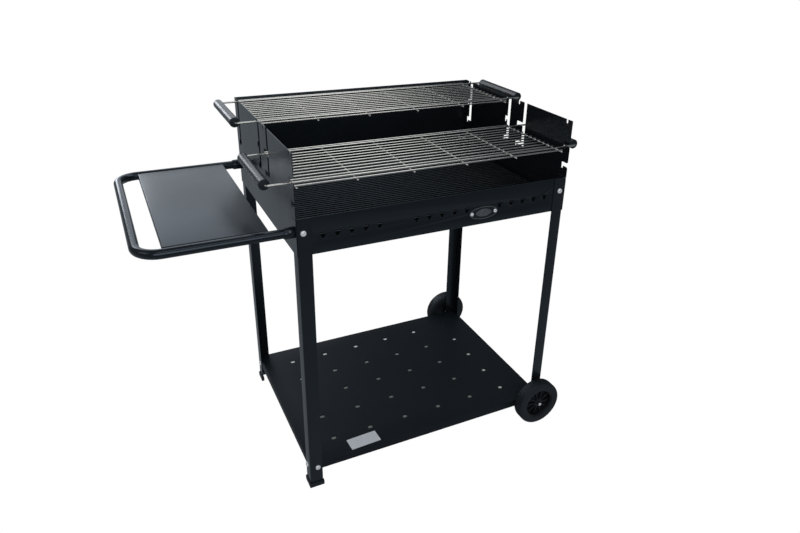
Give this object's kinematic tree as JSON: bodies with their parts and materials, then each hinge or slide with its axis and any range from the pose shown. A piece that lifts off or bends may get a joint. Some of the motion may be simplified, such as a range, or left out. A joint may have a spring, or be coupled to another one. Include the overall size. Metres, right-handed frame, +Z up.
{
  "type": "barbecue grill",
  "caption": "Charcoal barbecue trolley: sheet firebox on angle legs, wire cooking grids hooked at different heights, tube side table, shelf and wheels.",
  "frame": {"origin": "on the floor, under the middle of the whole object's box", "axes": "+X from the side table towards the wheels, +Y from front to rear, +Z up"},
  "size_m": [1.1337, 0.6352, 0.9413],
  "materials": {
    "black_paint": "satin powder coat",
    "grate_wire": "matt black",
    "grid_wire": "bright plated wire",
    "grip_sleeve": "satin",
    "black_plastic": "moulded",
    "tyre": "moulded",
    "zinc": "bright zinc"
  },
  "bodies": {
    "stand": {"left_wall": "black_paint", "right_wall": "black_paint", "front_panel": "black_paint", "rear_panel": "black_paint", "firebox_floor": "black_paint", "front_grate_ledge": "black_paint", "rear_grate_ledge": "black_paint", "front_left_leg": "black_paint", "front_right_leg": "black_paint", "rear_left_leg": "black_paint", "rear_right_leg": "black_paint", "shelf": "black_paint", "table_frame": "black_paint", "table_plate": "black_paint", "front_table_socket": "black_paint", "rear_table_socket": "black_paint", "badge": "black_paint", "front_left_foot": "black_plastic", "rear_left_foot": "black_plastic", "axle": "zinc", "axle_washers": "zinc", "axle_nuts": "zinc", "leg_bolts": "zinc", "leg_nuts": "zinc", "socket_bolts": "zinc", "socket_screws": "zinc", "shelf_bolts": "zinc", "shelf_nuts": "zinc", "badge_rivets": "zinc"},
    "front_wheel": {"front_tyre": "tyre", "front_hub": "black_plastic"},
    "rear_wheel": {"rear_tyre": "tyre", "rear_hub": "black_plastic"},
    "front_grid": {"front_grid_rod": "grid_wire", "front_grid_wires": "grid_wire"},
    "rear_grid": {"rear_grid_rod": "grid_wire", "rear_grid_wires": "grid_wire"},
    "charcoal_grate": {"charcoal_grate": "grate_wire"},
    "front_left_grip": {"front_left_grip": "grip_sleeve", "front_left_grip_plugs": "black_plastic"},
    "front_right_grip": {"front_right_grip": "grip_sleeve", "front_right_grip_plugs": "black_plastic"},
    "rear_left_grip": {"rear_left_grip": "grip_sleeve", "rear_left_grip_plugs": "black_plastic"},
    "rear_right_grip": {"rear_right_grip": "grip_sleeve", "rear_right_grip_plugs": "black_plastic"}
  },
  "joints": [
    {"name": "front_wheel_spin", "type": "hinge", "parent": "stand", "child": "front_wheel", "pos_m": [0.48812, 0, 0.07], "axis": [0, 1, 0], "continuous": true},
    {"name": "rear_wheel_spin", "type": "hinge", "parent": "stand", "child": "rear_wheel", "pos_m": [0.48812, 0, 0.07], "axis": [0, 1, 0], "continuous": true},
    {"name": "front_grid_lift", "type": "slide", "parent": "stand", "child": "front_grid", "axis": [0, 0, 1], "range_m": [0, 0.011]},
    {"name": "rear_grid_lift", "type": "slide", "parent": "stand", "child": "rear_grid", "axis": [0, 0, 1], "range_m": [0, 0.15]},
    {"name": "charcoal_grate_lift", "type": "slide", "parent": "stand", "child": "charcoal_grate", "axis": [0, 0, 1], "range_m": [0, 0.12]},
    {"name": "front_left_grip_spin", "type": "hinge", "parent": "front_grid", "child": "front_left_grip", "pos_m": [-0.28237, -0.143, 0.8638], "axis": [0, 1, 0], "continuous": true},
    {"name": "front_right_grip_spin", "type": "hinge", "parent": "front_grid", "child": "front_right_grip", "pos_m": [0.54963, -0.143, 0.8638], "axis": [0, 1, 0], "continuous": true},
    {"name": "rear_left_grip_spin", "type": "hinge", "parent": "rear_grid", "child": "rear_left_grip", "pos_m": [-0.27763, 0.1405, 0.9288], "axis": [0, 1, 0], "continuous": true},
    {"name": "rear_right_grip_spin", "type": "hinge", "parent": "rear_grid", "child": "rear_right_grip", "pos_m": [0.55437, 0.1405, 0.9288], "axis": [0, 1, 0], "continuous": true}
  ]
}
